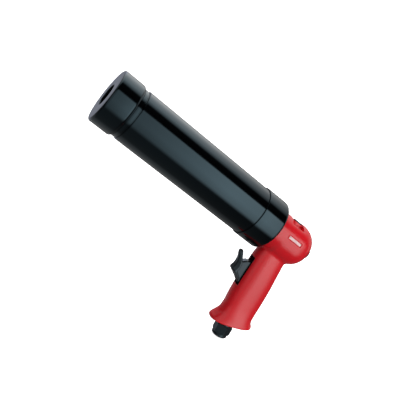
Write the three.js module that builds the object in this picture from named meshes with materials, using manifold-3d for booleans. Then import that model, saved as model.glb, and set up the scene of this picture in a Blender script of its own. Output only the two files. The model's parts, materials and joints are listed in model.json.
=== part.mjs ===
// Pneumatic caulking gun: a black barrel for 310 ml cartridges on a red pistol-grip casting.
// Millimetres. +X points out of the muzzle, +Z up, and Y = 0 is the plane of symmetry.
// Every piece is modelled with the barrel axis on X and the muzzle at x = 0, and the outer
// group then lifts the gun so that its lowest point is on z = 0, centred on x = 0.

import * as THREE from 'three';
import { mergeVertices } from 'three/addons/utils/BufferGeometryUtils.js';
import Module from 'manifold-3d';

const wasm = await Module();
wasm.setup();

// ---- driving dimensions ------------------------------------------------------------------

const GAP = 0.3; // free space between pieces that touch

const TUBE_R = 28.8; // outer radius of the barrel tube
const BORE_R = 26.5; // inner radius, clear of a 50 mm cartridge
const RING_R = 30; // outer radius of the front cap and the rear collar
const NECK_R = 27.8; // threaded ring that the front cap screws on

const CAP_LENGTH = 25.4;
const CAP_WALL = 3.5;
const CAP_ROUND = 2.4; // rounding of the cap's front and rear edges
const CAP_HOLE_R = 12;
const TUBE_FRONT = -31.7;
const TUBE_REAR = -214.5;
const COLLAR_FRONT = -196.5;
const COLLAR_REAR = -226.2;
const COLLAR_HOLE_R = 23.9;
const COLLAR_ROUND = 3.8; // rounding of the collar's rear edge

const FLANGE_FRONT = TUBE_REAR - 2.4; // head flange that the collar holds against the tube
const FLANGE_BACK = FLANGE_FRONT - 3.5;
const SPIGOT_FRONT = FLANGE_FRONT + 4.4;

const HEAD_R = 23.2;
const HEAD_NECK_R = 22.7;
const DOME_CENTRE = -260; // centre of the spherical rear end
const HEAD_DROP = 2.4; // the head's lower half sits this much lower than a round one
const CHAMBER_R = 7;
const CHAMBER_END = -256;

const GRIP_RAKE = THREE.MathUtils.degToRad(12.05);
const GRIP_ORIGIN_X = -245; // where the grip's centre line meets the barrel axis
const GRIP_FOOT = 118.5; // length of that centre line down to the foot's front
const FOOT_TILT = 0.095; // slope of the foot, which rises towards the back

// The grip's reach forward, back and to each side, at distances down its centre line.
const GRIP_STATIONS = [
  [8, 12.5, 18.5, 13],
  [30, 17.6, 19.2, 13.7],
  [45, 19, 19.9, 14.2],
  [60, 20, 20.7, 14.5],
  [72, 20.4, 21.1, 14.3],
  [86, 20.4, 21.2, 13.8],
  [100, 20, 21, 13.5],
  [107, 21.2, 21, 14.2],
  [112, 24.6, 22.2, 15.3],
  [115.5, 27, 24.2, 15.9],
  [117.6, 27.2, 24.6, 15.8],
  [GRIP_FOOT, 26.4, 23.8, 15],
];

const SLOT_HALF_WIDTH = 6.4;
const WEB_HALF_WIDTH = 4.7; // the trigger's part inside the slot
const SLOT_BACK = -249;
const SLOT_TOP = -38.5;
const SLOT_BOTTOM = -74.8;

const PIVOT = new THREE.Vector3(-245, 0, -71); // trigger pin's middle
const PIN_R = 1.5;

const VALVE_Z = -50;
const VALVE_BORE_R = 4.8;
const VALVE_END = -272.4;
const STEM_R = 1.5;

const THUMB_FLAT = 18; // height of the flat milled across the top of the head
const BOSS_TOP = 21.6; // the button's boss on that flat
const BOSS_MARGIN = 1.4; // wall of the boss round the button
const BUTTON_X = -249.2;
const BUTTON_LENGTH = 12.4;
const BUTTON_WIDTH = 7.4;
const BUTTON_TOP = 22.9;
const POCKET_FLOOR = 15.3;

const BADGE_X = -250.2;
const BADGE_LENGTH = 17.2;
const BADGE_WIDTH = 3;
const BADGE_THICKNESS = 0.9;
const BADGE_MARGIN = 0.8; // groove left round the badge
const BADGE_TILT = THREE.MathUtils.degToRad(13);

const KNOB_R = 6.6;
const REAR_END = -284.6;

const INLET_OFFSET = 5; // the air inlet sits this far in front of the grip's centre line
const INLET_END = 138.3;
const INLET_SOCKET = 125; // where the socket for the hose fitting ends
const HEX_R = 10.97; // hexagon across its corners, halved: 19 mm across the flats

const AXIS_X = new THREE.Vector3(1, 0, 0);
const AXIS_Y = new THREE.Vector3(0, 1, 0);
const AXIS_Z = new THREE.Vector3(0, 0, 1);

const ROUND = 48; // facets round a large piece
const SMALL_ROUND = 24; // facets round a small one

// ---- materials ---------------------------------------------------------------------------

const finish = (color, roughness, metalness) =>
  new THREE.MeshStandardMaterial({ color, roughness, metalness });

const BLACK_PAINT = finish(0x0b0d10, 0.18, 0.0);
const RED_PAINT = finish(0xb41420, 0.25, 0.0);
const BLACK_PLASTIC = finish(0x17191b, 0.5, 0.0);
const BLACK_STEEL = finish(0x141618, 0.35, 0.8);
const RUBBER = finish(0x101010, 0.85, 0.0);
const BRASS = finish(0xb08d43, 0.3, 1.0);
const STEEL = finish(0xb9bcc0, 0.3, 1.0);
const BADGE = finish(0xf0c9c6, 0.4, 0.0);

// ---- shape helpers -----------------------------------------------------------------------

// A geometry as a solid, turned right side out if its faces point inwards.
function solidOf(geometry) {
  const bare = geometry.clone();
  bare.deleteAttribute('normal');
  bare.deleteAttribute('uv');
  const merged = mergeVertices(bare, 1e-3);
  const corners = Float32Array.from(merged.attributes.position.array);
  const faces = Uint32Array.from(merged.index.array);
  if (signedVolume(corners, faces) < 0) faces.reverse();
  return new wasm.Manifold(new wasm.Mesh({ numProp: 3, vertProperties: corners, triVerts: faces }));
}

function signedVolume(corners, faces) {
  const point = (i) => new THREE.Vector3().fromArray(corners, 3 * i);
  let total = 0;
  for (let i = 0; i < faces.length; i += 3) {
    const [a, b, c] = [point(faces[i]), point(faces[i + 1]), point(faces[i + 2])];
    total += a.dot(b.cross(c)) / 6;
  }
  return total;
}

function geometryOf(solid) {
  const mesh = solid.getMesh();
  const geometry = new THREE.BufferGeometry();
  geometry.setAttribute('position', new THREE.BufferAttribute(new Float32Array(mesh.vertProperties), 3));
  geometry.setIndex(new THREE.BufferAttribute(new Uint32Array(mesh.triVerts), 1));
  return geometry;
}

// A body of revolution about X. The outline is [x, radius] points, and it starts and ends on
// the axis or closes on itself.
function turned(outline, facets = ROUND) {
  const onAxis = outline[0][1] === 0;
  const points = (onAxis ? outline : [...outline, outline[0]]).map(([x, r]) => new THREE.Vector2(r, x));
  return new THREE.LatheGeometry(points, facets).rotateZ(-Math.PI / 2);
}

// A plain ring, or a disc when the inner radius is 0.
function ring(front, back, inner, outer, facets = ROUND) {
  return turned([[front, inner], [front, outer], [back, outer], [back, inner]], facets);
}

// Quarter-circle points from one outline direction to the next.
function arc(centreX, centreR, radius, from, to, steps = 6) {
  const points = [];
  for (let i = 0; i <= steps; i += 1) {
    const angle = THREE.MathUtils.degToRad(from + ((to - from) * i) / steps);
    points.push([centreX + radius * Math.cos(angle), centreR + radius * Math.sin(angle)]);
  }
  return points;
}

// A flat outline in X and Z, extruded to both sides of Y = 0.
function plate(outline, width) {
  const settings = { depth: width, bevelEnabled: false, curveSegments: 6 };
  return new THREE.ExtrudeGeometry(outline, settings).translate(0, 0, -width / 2).rotateX(Math.PI / 2);
}

// A flat outline in Y and Z, extruded from one x to another.
function frontPlate(outline, from, to) {
  const settings = { depth: to - from, bevelEnabled: false, curveSegments: 6 };
  const turn = new THREE.Matrix4().makeBasis(AXIS_Y, AXIS_Z, AXIS_X);
  return new THREE.ExtrudeGeometry(outline, settings).translate(0, 0, from).applyMatrix4(turn);
}

// An upright block with round ends, long in X.
function oblong(length, width, bottom, top) {
  const half = (length - width) / 2;
  const outline = new THREE.Shape();
  outline.absarc(half, 0, width / 2, -Math.PI / 2, Math.PI / 2);
  outline.absarc(-half, 0, width / 2, Math.PI / 2, (3 * Math.PI) / 2);
  outline.closePath();
  const settings = { depth: top - bottom, bevelEnabled: false, curveSegments: 8 };
  return new THREE.ExtrudeGeometry(outline, settings).translate(0, 0, bottom);
}

function box(x0, x1, y0, y1, z0, z1) {
  const block = new THREE.BoxGeometry(x1 - x0, y1 - y0, z1 - z0);
  return block.translate((x0 + x1) / 2, (y0 + y1) / 2, (z0 + z1) / 2);
}

// A straight round rod or drilling between two points.
function rod(start, end, radius, facets = SMALL_ROUND) {
  const along = end.clone().sub(start);
  const cylinder = new THREE.CylinderGeometry(radius, radius, along.length(), facets);
  const middle = start.clone().add(end).multiplyScalar(0.5);
  const turn = new THREE.Quaternion().setFromUnitVectors(AXIS_Y, along.normalize());
  return cylinder.applyQuaternion(turn).translate(middle.x, middle.y, middle.z);
}

// A coil spring about X.
function coil(front, back, radius, wire, turns) {
  const steps = turns * 10;
  const points = [];
  for (let i = 0; i <= steps; i += 1) {
    const angle = (2 * Math.PI * turns * i) / steps;
    const x = front + ((back - front) * i) / steps;
    points.push(new THREE.Vector3(x, radius * Math.cos(angle), radius * Math.sin(angle)));
  }
  const section = new THREE.Shape().absarc(0, 0, wire / 2, 0, 2 * Math.PI);
  const extrudePath = new THREE.CatmullRomCurve3(points);
  return new THREE.ExtrudeGeometry(section, { steps, extrudePath, curveSegments: 3, bevelEnabled: false });
}

function joined(...geometries) {
  return geometryOf(geometries.map(solidOf).reduce((sum, next) => sum.add(next)));
}

function common(first, second) {
  return geometryOf(solidOf(first).intersect(solidOf(second)));
}

function cut(geometry, ...tools) {
  return geometryOf(tools.map(solidOf).reduce((rest, tool) => rest.subtract(tool), solidOf(geometry)));
}

// A point in the gun's plane of symmetry.
const inPlane = (x, z) => new THREE.Vector3(x, 0, z);

// A point of the grip: distance down its centre line, forward of that line, and to the left.
function gripPoint(down, forward, left) {
  const x = GRIP_ORIGIN_X - down * Math.sin(GRIP_RAKE) + forward * Math.cos(GRIP_RAKE);
  const z = -down * Math.cos(GRIP_RAKE) - forward * Math.sin(GRIP_RAKE);
  return new THREE.Vector3(x, left, z);
}

// Takes a piece turned about X, whose x is the distance down the grip, to the air inlet's axis.
function atInlet(geometry) {
  const origin = gripPoint(0, INLET_OFFSET, 0);
  return geometry.rotateY(Math.PI / 2 + GRIP_RAKE).translate(origin.x, origin.y, origin.z);
}

const atValve = (geometry) => geometry.translate(0, 0, VALVE_Z);

// Stands a piece turned about X on the bleed button's upright axis.
const atButton = (geometry) => geometry.rotateY(-Math.PI / 2).translate(BUTTON_X, 0, 0);

// ---- barrel ------------------------------------------------------------------------------

function frontCap() {
  const rear = -CAP_LENGTH;
  const frontRim = arc(-CAP_ROUND, RING_R - CAP_ROUND, CAP_ROUND, 0, 90);
  const rearRim = arc(rear + CAP_ROUND, RING_R - CAP_ROUND, CAP_ROUND, 90, 180);
  return turned([
    [-0.7, CAP_HOLE_R], [0, CAP_HOLE_R + 0.7], ...frontRim, ...rearRim.slice(0, -1),
    [rear, NECK_R + GAP],
    [-CAP_WALL, NECK_R + GAP], [-CAP_WALL, CAP_HOLE_R],
  ]);
}

// Soft ring inside the cap that the cartridge's shoulder presses on.
function capWasher() {
  return ring(-CAP_WALL - GAP, -CAP_WALL - GAP - 2, CAP_HOLE_R + 1, BORE_R);
}

// Threaded ring fixed in the tube's front end. Part of it shows between cap and tube.
function frontThreadRing() {
  const front = -CAP_WALL - 2 * GAP - 2;
  const shoulder = TUBE_FRONT + GAP;
  const inner = BORE_R - 1.1;
  return turned([
    [front, inner], [front, NECK_R - 0.5], [front - 0.5, NECK_R], [shoulder, NECK_R],
    [shoulder, BORE_R - GAP], [shoulder - 9, BORE_R - GAP], [shoulder - 9, inner],
  ]);
}

function barrelTube() {
  return turned([
    [TUBE_FRONT, BORE_R], [TUBE_FRONT, TUBE_R - 0.4], [TUBE_FRONT - 0.4, TUBE_R],
    [TUBE_REAR, TUBE_R], [TUBE_REAR, BORE_R],
  ]);
}

// Union nut: its front sleeves the tube, and its rear flange catches the head's flange.
function rearCollar() {
  const sleeve = TUBE_R + GAP;
  const seat = FLANGE_BACK - 2 * GAP - 1;
  const shoulder = arc(COLLAR_REAR + COLLAR_ROUND, RING_R - COLLAR_ROUND, COLLAR_ROUND, 90, 180);
  return turned([
    [COLLAR_FRONT, sleeve], [COLLAR_FRONT, RING_R - 0.5], [COLLAR_FRONT - 0.5, RING_R],
    ...shoulder, [COLLAR_REAR, COLLAR_HOLE_R], [seat, COLLAR_HOLE_R], [seat, sleeve],
  ]);
}

function collarWasher() {
  return ring(FLANGE_BACK - GAP, FLANGE_BACK - GAP - 1, COLLAR_HOLE_R + 0.5, TUBE_R - 0.2);
}

function barrelGasket() {
  return ring(TUBE_REAR - GAP, FLANGE_FRONT + GAP, BORE_R + 0.1, TUBE_R - 0.2);
}

// Rubber cone that seals against the tail of the cartridge.
function cartridgeSeal() {
  const back = SPIGOT_FRONT + GAP;
  return turned([[back, 17], [back + 3, 20], [back + 3, 24.5], [back, BORE_R - 0.5]]);
}

// ---- head and grip casting ---------------------------------------------------------------

// The head's outside as a body of revolution, its lower half then moved down.
function headOutside() {
  const dome = arc(DOME_CENTRE, 0, HEAD_R, 90, 180, 12);
  dome[dome.length - 1] = [DOME_CENTRE - HEAD_R, 0];
  const shell = turned([
    [SPIGOT_FRONT, 0], [SPIGOT_FRONT, BORE_R - GAP], [FLANGE_FRONT, BORE_R - GAP],
    [FLANGE_FRONT, TUBE_R - 0.2], [FLANGE_BACK, TUBE_R - 0.2], [FLANGE_BACK, HEAD_NECK_R],
    [-236, HEAD_NECK_R], [-239, HEAD_NECK_R + 0.1], [-242, HEAD_NECK_R + 0.2], [-248, HEAD_R - 0.1],
    ...dome,
  ]);
  const place = shell.attributes.position;
  for (let i = 0; i < place.count; i += 1) {
    const drop = HEAD_DROP * THREE.MathUtils.smoothstep(-place.getX(i), 236, 242);
    if (place.getZ(i) < -0.01) place.setZ(i, place.getZ(i) - drop);
  }
  return shell;
}

// An upright cylinder whose every level is bent to the grip's section.
function gripOutside() {
  const levels = GRIP_STATIONS.length - 1;
  const block = new THREE.CylinderGeometry(1, 1, 1, 40, levels);
  const squarish = (value) => Math.sign(value) * Math.abs(value) ** 0.82;
  const place = block.attributes.position;
  for (let i = 0; i < place.count; i += 1) {
    const [down, front, back, side] = GRIP_STATIONS[Math.round((0.5 - place.getY(i)) * levels)];
    const reach = Math.hypot(place.getX(i), place.getZ(i));
    const angle = Math.atan2(place.getZ(i), place.getX(i));
    const forward = reach * squarish(Math.cos(angle)) * (Math.cos(angle) > 0 ? front : back);
    const left = reach * squarish(Math.sin(angle)) * side;
    const rise = FOOT_TILT * THREE.MathUtils.smoothstep(down, 86, GRIP_FOOT) * (INLET_OFFSET - forward);
    const point = gripPoint(down - rise, forward, left);
    place.setXYZ(i, point.x, point.y, point.z);
  }
  return block;
}

// What is drilled and milled out of the casting for the air's way and the moving pieces.
function castingCuts() {
  return [
    rod(inPlane(SPIGOT_FRONT + 1, 0), inPlane(CHAMBER_END, 0), CHAMBER_R),
    rod(inPlane(SPIGOT_FRONT + 1, 0), inPlane(SPIGOT_FRONT - 4, 0), 9.3),
    rod(inPlane(CHAMBER_END + 1, 0), inPlane(-264, 0), 1.8),
    rod(inPlane(-263, 0), inPlane(REAR_END - 2, 0), 3.6),
    rod(inPlane(-281, 0), inPlane(REAR_END - 2, 0), KNOB_R + GAP),
    rod(inPlane(SLOT_BACK + 1, VALVE_Z), inPlane(VALVE_END, VALVE_Z), VALVE_BORE_R),
    rod(inPlane(-258.3, VALVE_Z), inPlane(-246, 0), 2.4, 12),
    rod(inPlane(-268, VALVE_Z), gripPoint(105, INLET_OFFSET, 0), 2.4, 12),
    rod(inPlane(BUTTON_X, 0), inPlane(BUTTON_X, POCKET_FLOOR + 1), 2.1, 16),
    rod(PIVOT.clone().setY(-20), PIVOT.clone().setY(9), PIN_R + GAP),
    box(SLOT_BACK, -225, -SLOT_HALF_WIDTH, SLOT_HALF_WIDTH, SLOT_BOTTOM, SLOT_TOP),
    oblong(BUTTON_LENGTH + 2 * GAP, BUTTON_WIDTH + 2 * GAP, POCKET_FLOOR, 30).translate(BUTTON_X, 0, 0),
    atInlet(ring(104, GRIP_FOOT + 5, 0, 6.5, SMALL_ROUND)),
    atInlet(ring(116.3, GRIP_FOOT + 5, 0, 8.6, SMALL_ROUND)),
    badgeBox(1, BADGE_MARGIN, GAP, 5),
    badgeBox(-1, BADGE_MARGIN, GAP, 5),
  ];
}

function headBody() {
  const flattened = cut(headOutside(), box(-256, -239.5, -20, 20, THUMB_FLAT, 30));
  const length = BUTTON_LENGTH + 2 * BOSS_MARGIN;
  const boss = oblong(length, BUTTON_WIDTH + 2 * BOSS_MARGIN, THUMB_FLAT - 1, BOSS_TOP);
  return cut(joined(flattened, gripOutside(), boss.translate(BUTTON_X, 0, 0)), ...castingCuts());
}

// A thin box on the head's left (1) or right (-1) side, wider by a margin, deeper and higher.
function badgeBox(side, margin, depth, height) {
  const length = BADGE_LENGTH + 2 * margin;
  const width = BADGE_WIDTH + 2 * margin;
  const thickness = BADGE_THICKNESS + depth + height;
  const block = new THREE.BoxGeometry(length, thickness, width);
  block.translate(BADGE_X, side * (HEAD_R + height - thickness / 2), 0);
  return block.rotateX(side * BADGE_TILT);
}

// Blank plates let into the head's sides.
const badgeLeft = () => badgeBox(1, 0, 0, 0);
const badgeRight = () => badgeBox(-1, 0, 0, 0);

// ---- air path at the head ----------------------------------------------------------------

// Plug in the head's front face that the air blows out of.
function chamberPlug() {
  const front = SPIGOT_FRONT - 0.4;
  return turned([
    [front, 2], [front, 9], [front - 3.3, 9], [front - 3.3, CHAMBER_R - GAP],
    [front - 8, CHAMBER_R - GAP], [front - 8, 5], [front - 5, 5], [front - 5, 2],
  ], SMALL_ROUND);
}

function airScreen() {
  const front = SPIGOT_FRONT - 0.4 - 5 - GAP;
  return ring(front, front - 1.2, 0, 5 - GAP, SMALL_ROUND);
}

// Bleed button: an oblong head with a stem down to the chamber.
function releaseButton() {
  const head = oblong(BUTTON_LENGTH, BUTTON_WIDTH, 18.2, BUTTON_TOP).translate(BUTTON_X, 0, 0);
  return joined(head, rod(inPlane(BUTTON_X, 6), inPlane(BUTTON_X, 19), 1.3, 16));
}

function releasePoppet() {
  return atButton(ring(5.7, 3.7, 0, 3.2, 16));
}

function releaseSpring() {
  return atButton(coil(POCKET_FLOOR + 0.8, 17.5, 2.6, 0.7, 2));
}

// Flow screw in the dome, with a slotted head outside and a needle inside.
function regulatorScrew() {
  const screw = turned([
    [-258.5, 0], [-263.6, 1.4], [-263.6, 2.6], [-265, 3.3], [-271.6, 3.3], [-271.6, 2.4],
    [-274.2, 2.4], [-274.2, 3.3], [-281.3, 3.3], [-281.3, KNOB_R], [REAR_END + 0.6, KNOB_R],
    [REAR_END, KNOB_R - 0.6], [REAR_END, 0],
  ], SMALL_ROUND);
  return cut(screw, box(REAR_END - 1, REAR_END + 1.2, -0.7, 0.7, -8, 8));
}

function regulatorSeal() {
  return ring(-271.9, -273.9, 2.7, 3.3, SMALL_ROUND);
}

// ---- trigger and valve -------------------------------------------------------------------

// Curved finger pad with a horn above it, seen from the side.
function padSide() {
  const outline = new THREE.Shape();
  outline.moveTo(-217.8, -39.6);
  outline.quadraticCurveTo(-216.4, -41.2, -218, -44.2);
  outline.quadraticCurveTo(-225.6, -54.4, -223, -62.2);
  outline.quadraticCurveTo(-222.8, -64.4, -225.4, -65.2);
  outline.lineTo(-238, -71.4);
  outline.lineTo(-238, -67.6);
  outline.lineTo(-230, -62);
  outline.quadraticCurveTo(-230.8, -55, -226.6, -48.4);
  outline.lineTo(-222.4, -41.4);
  outline.quadraticCurveTo(-220.4, -38.2, -217.8, -39.6);
  return outline;
}

// The pad seen from the front: its horn and its lower end are narrower than its middle.
function padFront() {
  const outline = new THREE.Shape();
  outline.moveTo(-2.8, -41.8);
  outline.quadraticCurveTo(0, -36.8, 2.8, -41.8);
  outline.quadraticCurveTo(4, -46.6, 6.4, -51.6);
  outline.quadraticCurveTo(7.6, -57.6, 7.2, -63.6);
  outline.lineTo(5.6, -72);
  outline.lineTo(-5.6, -72);
  outline.lineTo(-7.2, -63.6);
  outline.quadraticCurveTo(-7.6, -57.6, -6.4, -51.6);
  outline.quadraticCurveTo(-4, -46.6, -2.8, -41.8);
  return outline;
}

// Web from the pad into the grip's slot, with the eye for the pin at its lower end.
function triggerWeb() {
  const outline = new THREE.Shape();
  outline.moveTo(-227.4, -50.6);
  outline.lineTo(-232, -46.4);
  outline.lineTo(-242, -43);
  outline.lineTo(-243.2, -46);
  outline.lineTo(-243.2, -54);
  outline.lineTo(-247.6, -69.2);
  outline.absarc(PIVOT.x, PIVOT.z, 3.1, (5 * Math.PI) / 6, (5 * Math.PI) / 3);
  outline.lineTo(-238, -71.8);
  outline.lineTo(-227.4, -65.4);
  outline.closePath();
  return plate(outline, 2 * WEB_HALF_WIDTH);
}

function trigger() {
  const pad = common(plate(padSide(), 16), frontPlate(padFront(), -240, -215));
  const pinHole = rod(PIVOT.clone().setY(-10), PIVOT.clone().setY(10), PIN_R + GAP);
  return cut(joined(pad, triggerWeb()), pinHole);
}

function triggerPin() {
  return rod(PIVOT.clone().setY(-9.6), PIVOT.clone().setY(8.6), PIN_R);
}

function valveBush() {
  return atValve(ring(SLOT_BACK - GAP, -254.4, STEM_R + GAP, VALVE_BORE_R - GAP, SMALL_ROUND));
}

function stemSeal() {
  return atValve(ring(-254.7, -256.3, STEM_R + GAP, VALVE_BORE_R - GAP, SMALL_ROUND));
}

function valveSeat() {
  return atValve(ring(-260.4, -262, 2.6, VALVE_BORE_R - GAP, SMALL_ROUND));
}

function valveStem() {
  return atValve(turned([
    [-243.5, 0], [-243.5, STEM_R], [-262.3, STEM_R], [-262.3, 3.6], [-263.8, 3.6],
    [-263.8, 1.6], [-265.6, 1.6], [-265.6, 0],
  ], SMALL_ROUND));
}

function valveSpring() {
  return atValve(coil(-264.7, VALVE_END + 0.8, 3, 0.8, 4));
}

// ---- air inlet ---------------------------------------------------------------------------

// Bushing with a hexagon, a spigot in the grip's foot and a socket for the hose fitting.
function inletBushing() {
  const hexagon = ring(123, 134, 0, HEX_R, 6);
  const chamfer = turned([[123, 0], [123, 9.7], [124.3, HEX_R], [132.7, HEX_R], [134, 9.7], [134, 0]]);
  const spigot = ring(106, 120, 0, 6.2, SMALL_ROUND);
  const neck = ring(GRIP_FOOT + GAP, 123.5, 0, 8.4, SMALL_ROUND);
  const nose = turned([[133.5, 0], [133.5, 9.4], [137.2, 9.4], [INLET_END, 8.3], [INLET_END, 0]], SMALL_ROUND);
  const body = joined(common(hexagon, chamfer), spigot, neck, nose);
  const bore = ring(105, 126, 0, 4.2, SMALL_ROUND);
  const socket = ring(INLET_SOCKET, INLET_END + 1, 0, 5.8, SMALL_ROUND);
  return atInlet(cut(body, bore, socket));
}

function inletSeal() {
  return atInlet(ring(116.6, 118.2, 6.6, 8.2, SMALL_ROUND));
}

function inletScreen() {
  return atInlet(ring(INLET_SOCKET + GAP, INLET_SOCKET + GAP + 1.1, 0, 5.4, SMALL_ROUND));
}

// ---- assembly ----------------------------------------------------------------------------

const PIECES = [
  ['front_cap', frontCap, BLACK_PAINT],
  ['cap_washer', capWasher, RUBBER],
  ['front_thread_ring', frontThreadRing, BLACK_PAINT],
  ['barrel_tube', barrelTube, BLACK_PAINT],
  ['rear_collar', rearCollar, BLACK_PAINT],
  ['collar_washer', collarWasher, RUBBER],
  ['barrel_gasket', barrelGasket, RUBBER],
  ['cartridge_seal', cartridgeSeal, RUBBER],
  ['head_body', headBody, RED_PAINT],
  ['badge_left', badgeLeft, BADGE],
  ['badge_right', badgeRight, BADGE],
  ['chamber_plug', chamberPlug, BRASS],
  ['air_screen', airScreen, BRASS],
  ['release_button', releaseButton, BLACK_PLASTIC],
  ['release_poppet', releasePoppet, RUBBER],
  ['release_spring', releaseSpring, STEEL],
  ['regulator_screw', regulatorScrew, BLACK_STEEL],
  ['regulator_seal', regulatorSeal, RUBBER],
  ['trigger', trigger, BLACK_PLASTIC],
  ['trigger_pin', triggerPin, STEEL],
  ['valve_bush', valveBush, BRASS],
  ['stem_seal', stemSeal, RUBBER],
  ['valve_seat', valveSeat, BRASS],
  ['valve_stem', valveStem, BRASS],
  ['valve_spring', valveSpring, STEEL],
  ['inlet_bushing', inletBushing, BLACK_STEEL],
  ['inlet_seal', inletSeal, RUBBER],
  ['inlet_screen', inletScreen, BRASS],
];

const gun = new THREE.Group();
for (const [name, shape, material] of PIECES) {
  const piece = new THREE.Mesh(geometryOf(solidOf(shape())), material);
  piece.name = name;
  gun.add(piece);
}

const extent = new THREE.Box3().setFromObject(gun);
gun.position.set(-(extent.min.x + extent.max.x) / 2, 0, -extent.min.z);

export default gun;
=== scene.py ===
import json
import math

import bpy
import numpy as np
from mathutils import Matrix, Vector


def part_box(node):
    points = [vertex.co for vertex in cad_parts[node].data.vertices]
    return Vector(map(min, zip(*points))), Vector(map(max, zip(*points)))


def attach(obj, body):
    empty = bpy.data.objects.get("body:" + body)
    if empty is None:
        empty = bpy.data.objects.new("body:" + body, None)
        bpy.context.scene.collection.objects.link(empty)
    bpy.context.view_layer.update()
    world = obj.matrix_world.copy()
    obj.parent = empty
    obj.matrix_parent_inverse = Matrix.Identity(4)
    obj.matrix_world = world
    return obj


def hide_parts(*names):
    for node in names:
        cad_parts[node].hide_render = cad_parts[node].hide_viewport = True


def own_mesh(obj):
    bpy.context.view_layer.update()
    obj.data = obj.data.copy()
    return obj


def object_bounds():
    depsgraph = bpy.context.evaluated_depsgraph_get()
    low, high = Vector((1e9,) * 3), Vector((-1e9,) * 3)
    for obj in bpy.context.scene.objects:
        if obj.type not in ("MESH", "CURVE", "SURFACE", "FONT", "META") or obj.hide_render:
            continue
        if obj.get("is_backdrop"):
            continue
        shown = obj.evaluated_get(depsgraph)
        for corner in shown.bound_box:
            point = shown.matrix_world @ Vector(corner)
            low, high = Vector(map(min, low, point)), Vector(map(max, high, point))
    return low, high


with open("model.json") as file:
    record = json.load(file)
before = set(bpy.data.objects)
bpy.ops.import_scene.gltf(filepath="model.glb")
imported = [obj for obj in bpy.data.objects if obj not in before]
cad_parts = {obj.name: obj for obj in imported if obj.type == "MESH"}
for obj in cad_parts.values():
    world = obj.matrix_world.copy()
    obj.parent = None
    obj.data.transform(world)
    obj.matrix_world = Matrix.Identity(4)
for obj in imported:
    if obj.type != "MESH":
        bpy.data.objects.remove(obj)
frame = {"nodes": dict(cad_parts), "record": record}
CAD_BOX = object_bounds()

# Shapes are written in millimetres with the barrel's axis on X and the muzzle at x = 0.
CAP_LOW, CAP_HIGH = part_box("front_cap")
ORIGIN = np.array([CAP_HIGH.x, 0.0, (CAP_LOW.z + CAP_HIGH.z) / 2])
MM = 0.001

GRIP_RAKE = math.radians(12.05)
GRIP_ORIGIN_X = -245.0
GRIP_FOOT = 118.5
FOOT_TILT = 0.095
INLET_OFFSET = 5.0
VALVE_Z = -50.0
BUTTON_X = -249.2
PIVOT = (-245.0, 0.0, -71.0)
BADGE_X = -250.2
BADGE_TILT = math.radians(13)
HEAD_R = 23.2
DOME_CENTRE = -260.0
BORE_R = 26.5
TUBE_R = 28.8
RING_R = 30.0
NECK_R = 27.8
GAP = 0.3
THREAD_PITCH = 3.0
SLOT_HALF_WIDTH = 6.4
SLOT_BACK = -249.0
SLOT_TOP = -38.5
SLOT_BOTTOM = -74.8
BUTTON_LENGTH = 12.4
BUTTON_WIDTH = 7.4
BUTTON_TOP = 22.9

CELL = 0.66
SEGMENTS = 224


# ---- meshes ------------------------------------------------------------------------------

def add_mesh(name, points, faces, body, replaces, material, sharp=None, normals=None):
    mesh = bpy.data.meshes.new(name)
    mesh.from_pydata((np.asarray(points) * MM + ORIGIN).tolist(), [], faces)
    mesh.validate()
    mesh.polygons.foreach_set("use_smooth", [True] * len(mesh.polygons))
    if sharp is not None:
        mesh.set_sharp_from_angle(angle=math.radians(sharp))
    if normals is not None:
        mesh.normals_split_custom_set_from_vertices(normals.tolist())
    mesh.materials.append(material)
    piece = bpy.data.objects.new(name, mesh)
    bpy.context.scene.collection.objects.link(piece)
    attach(piece, body)
    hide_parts(*replaces)
    return piece


def rounded(corners, closed):
    """An outline of [x, r, fillet] corners with each fillet drawn as an arc."""
    count = len(corners)
    outline = []
    for i, (x, r, *fillet) in enumerate(corners):
        here = np.array([x, r], float)
        if not fillet or (not closed and i in (0, count - 1)):
            outline.append(here)
            continue
        before = np.array(corners[i - 1][:2], float) - here
        after = np.array(corners[(i + 1) % count][:2], float) - here
        before /= np.linalg.norm(before)
        after /= np.linalg.norm(after)
        half = math.acos(max(-1.0, min(1.0, before @ after))) / 2
        reach = fillet[0] / math.tan(half)
        middle = before + after
        centre = here + middle / np.linalg.norm(middle) * fillet[0] / math.sin(half)
        start, end = here + before * reach - centre, here + after * reach - centre
        turn = math.atan2(start[0] * end[1] - start[1] * end[0], start @ end)
        steps = max(3, round(abs(turn) / math.radians(9)))
        for k in range(steps + 1):
            a = turn * k / steps
            c, s = math.cos(a), math.sin(a)
            outline.append(centre + np.array([start[0] * c - start[1] * s, start[0] * s + start[1] * c]))
    return np.array(outline)


def turned_points(outline, segments, swell=None):
    angles = np.arange(segments) * 2 * math.pi / segments
    x = np.repeat(outline[:, 0][:, None], segments, 1)
    r = np.repeat(outline[:, 1][:, None], segments, 1)
    if swell is not None:
        x, r = swell(x, r, angles[None, :])
    return np.stack([x, r * np.cos(angles), r * np.sin(angles)], -1)


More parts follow.
